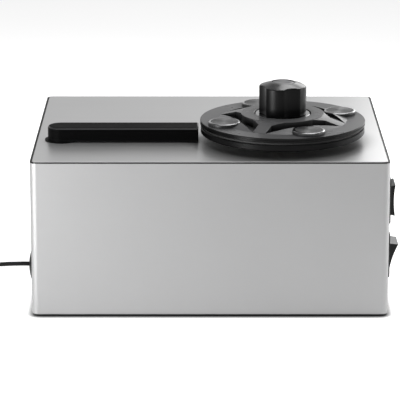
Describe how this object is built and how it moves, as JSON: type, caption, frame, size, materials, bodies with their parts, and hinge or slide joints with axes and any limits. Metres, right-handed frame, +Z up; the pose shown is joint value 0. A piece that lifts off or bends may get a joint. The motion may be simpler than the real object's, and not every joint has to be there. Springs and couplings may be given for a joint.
{
  "type": "record cleaning machine",
  "caption": "Record cleaning machine: box case with a small turning platter, a weighted label clamp with a screw knob, and a suction arm that lifts and swings over the record.",
  "frame": {"origin": "middle of the footprint of the machine without its cord, on the surface that the feet stand on", "axes": "+X to the machine's right, along its longest side; +Y to the back; +Z up"},
  "size_m": [0.4774, 0.2094, 0.151],
  "materials": {
    "case_silver": "satin anodised",
    "seal_black": "satin black",
    "panel_silver": "fine brushed, satin",
    "base_black": "black powder coat",
    "foot_rubber": "matt",
    "plain_aluminium": "plain",
    "screw_steel": "zinc plated",
    "plastic_black": "fine texture",
    "rubber_black": "matt",
    "brass_plain": "turned",
    "shaft_steel": "ground",
    "platter_black": "black anodised, satin",
    "mat_rubber": "matt",
    "gear_plastic": "moulded",
    "motor_steel": "plated",
    "bracket_steel": "zinc plated",
    "clamp_metal": "dark anodised, glossy",
    "weight_steel": "polished, bevelled edge",
    "washer_chrome": "polished",
    "knob_black": "black anodised, glossy",
    "inlay_grey": "satin",
    "arm_black": "black anodised, satin",
    "felt_grey": "felt",
    "tank_plastic": "moulded, natural",
    "rocker_black": "satin",
    "board_green": "coated",
    "gland_black": "satin",
    "cord_black": "satin"
  },
  "bodies": {
    "case": {"case_wrap": "case_silver", "edge_seal": "seal_black", "top_plate": "panel_silver", "base_plate": "base_black", "feet": "foot_rubber", "corner_blocks": "plain_aluminium", "case_screws": "screw_steel", "exhaust_grille": "plastic_black", "drain_spout": "plastic_black", "spindle_bearing": "brass_plain", "flange_nuts": "screw_steel", "drive_motor": "motor_steel", "drive_bracket": "bracket_steel", "bracket_pillars": "bracket_steel", "drive_screws": "screw_steel", "lower_bush": "brass_plain", "arm_socket": "plastic_black", "arm_collar": "plastic_black", "waste_tank": "tank_plastic", "tank_gasket": "mat_rubber", "tank_lid": "tank_plastic", "inlet_hose": "rubber_black", "blower_hose": "rubber_black", "blower_housing": "plastic_black", "blower_motor": "motor_steel", "blower_legs": "foot_rubber", "direction_switch": "plastic_black", "vacuum_switch": "plastic_black", "control_board": "board_green", "board_spacers": "gear_plastic", "cord_gland": "gland_black", "gland_nut": "plastic_black", "power_cord": "cord_black", "cord_coil": "cord_black", "cord_tail": "cord_black", "cord_plug": "cord_black"},
    "platter": {"spindle": "shaft_steel", "platter": "platter_black", "platter_screws": "screw_steel", "platter_mat": "mat_rubber", "driven_gear": "gear_plastic", "spindle_clip": "screw_steel"},
    "pinion": {"motor_pinion": "brass_plain", "motor_shaft": "shaft_steel"},
    "clamp": {"clamp_disc": "clamp_metal", "clamp_weights": "weight_steel", "clamp_seal": "mat_rubber"},
    "washer": {"thrust_washer": "washer_chrome"},
    "knob": {"knob": "knob_black", "knob_insert": "brass_plain", "knob_inlay": "inlay_grey"},
    "sleeve": {"swivel_sleeve": "plastic_black"},
    "arm": {"suction_arm": "arm_black", "arm_base": "plastic_black", "felt_strips": "felt_grey", "arm_pipe": "shaft_steel"},
    "direction_rocker": {"direction_rocker": "rocker_black"},
    "vacuum_rocker": {"vacuum_rocker": "rocker_black"},
    "fan": {"blower_impeller": "gear_plastic"},
    "drain_cap": {"drain_cap": "rubber_black"}
  },
  "joints": [
    {"name": "platter_spin", "type": "hinge", "parent": "case", "child": "platter", "pos_m": [0.0488, -0.0422, 0.08], "axis": [0, 0, 1], "continuous": true},
    {"name": "pinion_spin", "type": "hinge", "parent": "case", "child": "pinion", "pos_m": [0.0488, -0.0122, 0.088], "axis": [0, 0, 1], "continuous": true},
    {"name": "clamp_lift", "type": "slide", "parent": "platter", "child": "clamp", "axis": [0, 0, 1], "range_m": [0, 0.03]},
    {"name": "knob_turn", "type": "hinge", "parent": "clamp", "child": "washer", "pos_m": [0.0488, -0.0422, 0.1268], "axis": [0, 0, 1], "range_deg": [0, 1800]},
    {"name": "knob_rise", "type": "slide", "parent": "washer", "child": "knob", "axis": [0, 0, 1], "range_m": [0, 0.005]},
    {"name": "arm_swing", "type": "hinge", "parent": "case", "child": "sleeve", "pos_m": [-0.1058, -0.0422, 0.1], "axis": [0, 0, 1], "range_deg": [-100, 100]},
    {"name": "arm_lift", "type": "slide", "parent": "sleeve", "child": "arm", "axis": [0, 0, 1], "range_m": [0, 0.025]},
    {"name": "direction_rock", "type": "hinge", "parent": "case", "child": "direction_rocker", "pos_m": [0.1143, -0.0772, 0.0776], "axis": [0, 1, 0], "range_deg": [-17, 17]},
    {"name": "vacuum_rock", "type": "hinge", "parent": "case", "child": "vacuum_rocker", "pos_m": [0.1143, -0.0772, 0.0391], "axis": [0, 1, 0], "range_deg": [-34, 0]},
    {"name": "fan_spin", "type": "hinge", "parent": "case", "child": "fan", "pos_m": [-0.0401, 0.0483, 0.05], "axis": [0, 0, 1], "continuous": true},
    {"name": "cap_pull", "type": "slide", "parent": "case", "child": "drain_cap", "axis": [0, 1, 0], "range_m": [0, 0.02]}
  ],
  "couplings": [
    {"joint": "pinion_spin", "follows": "platter_spin", "ratio": -4},
    {"joint": "knob_turn", "follows": "knob_rise", "rad_per_m": 6283.2}
  ]
}
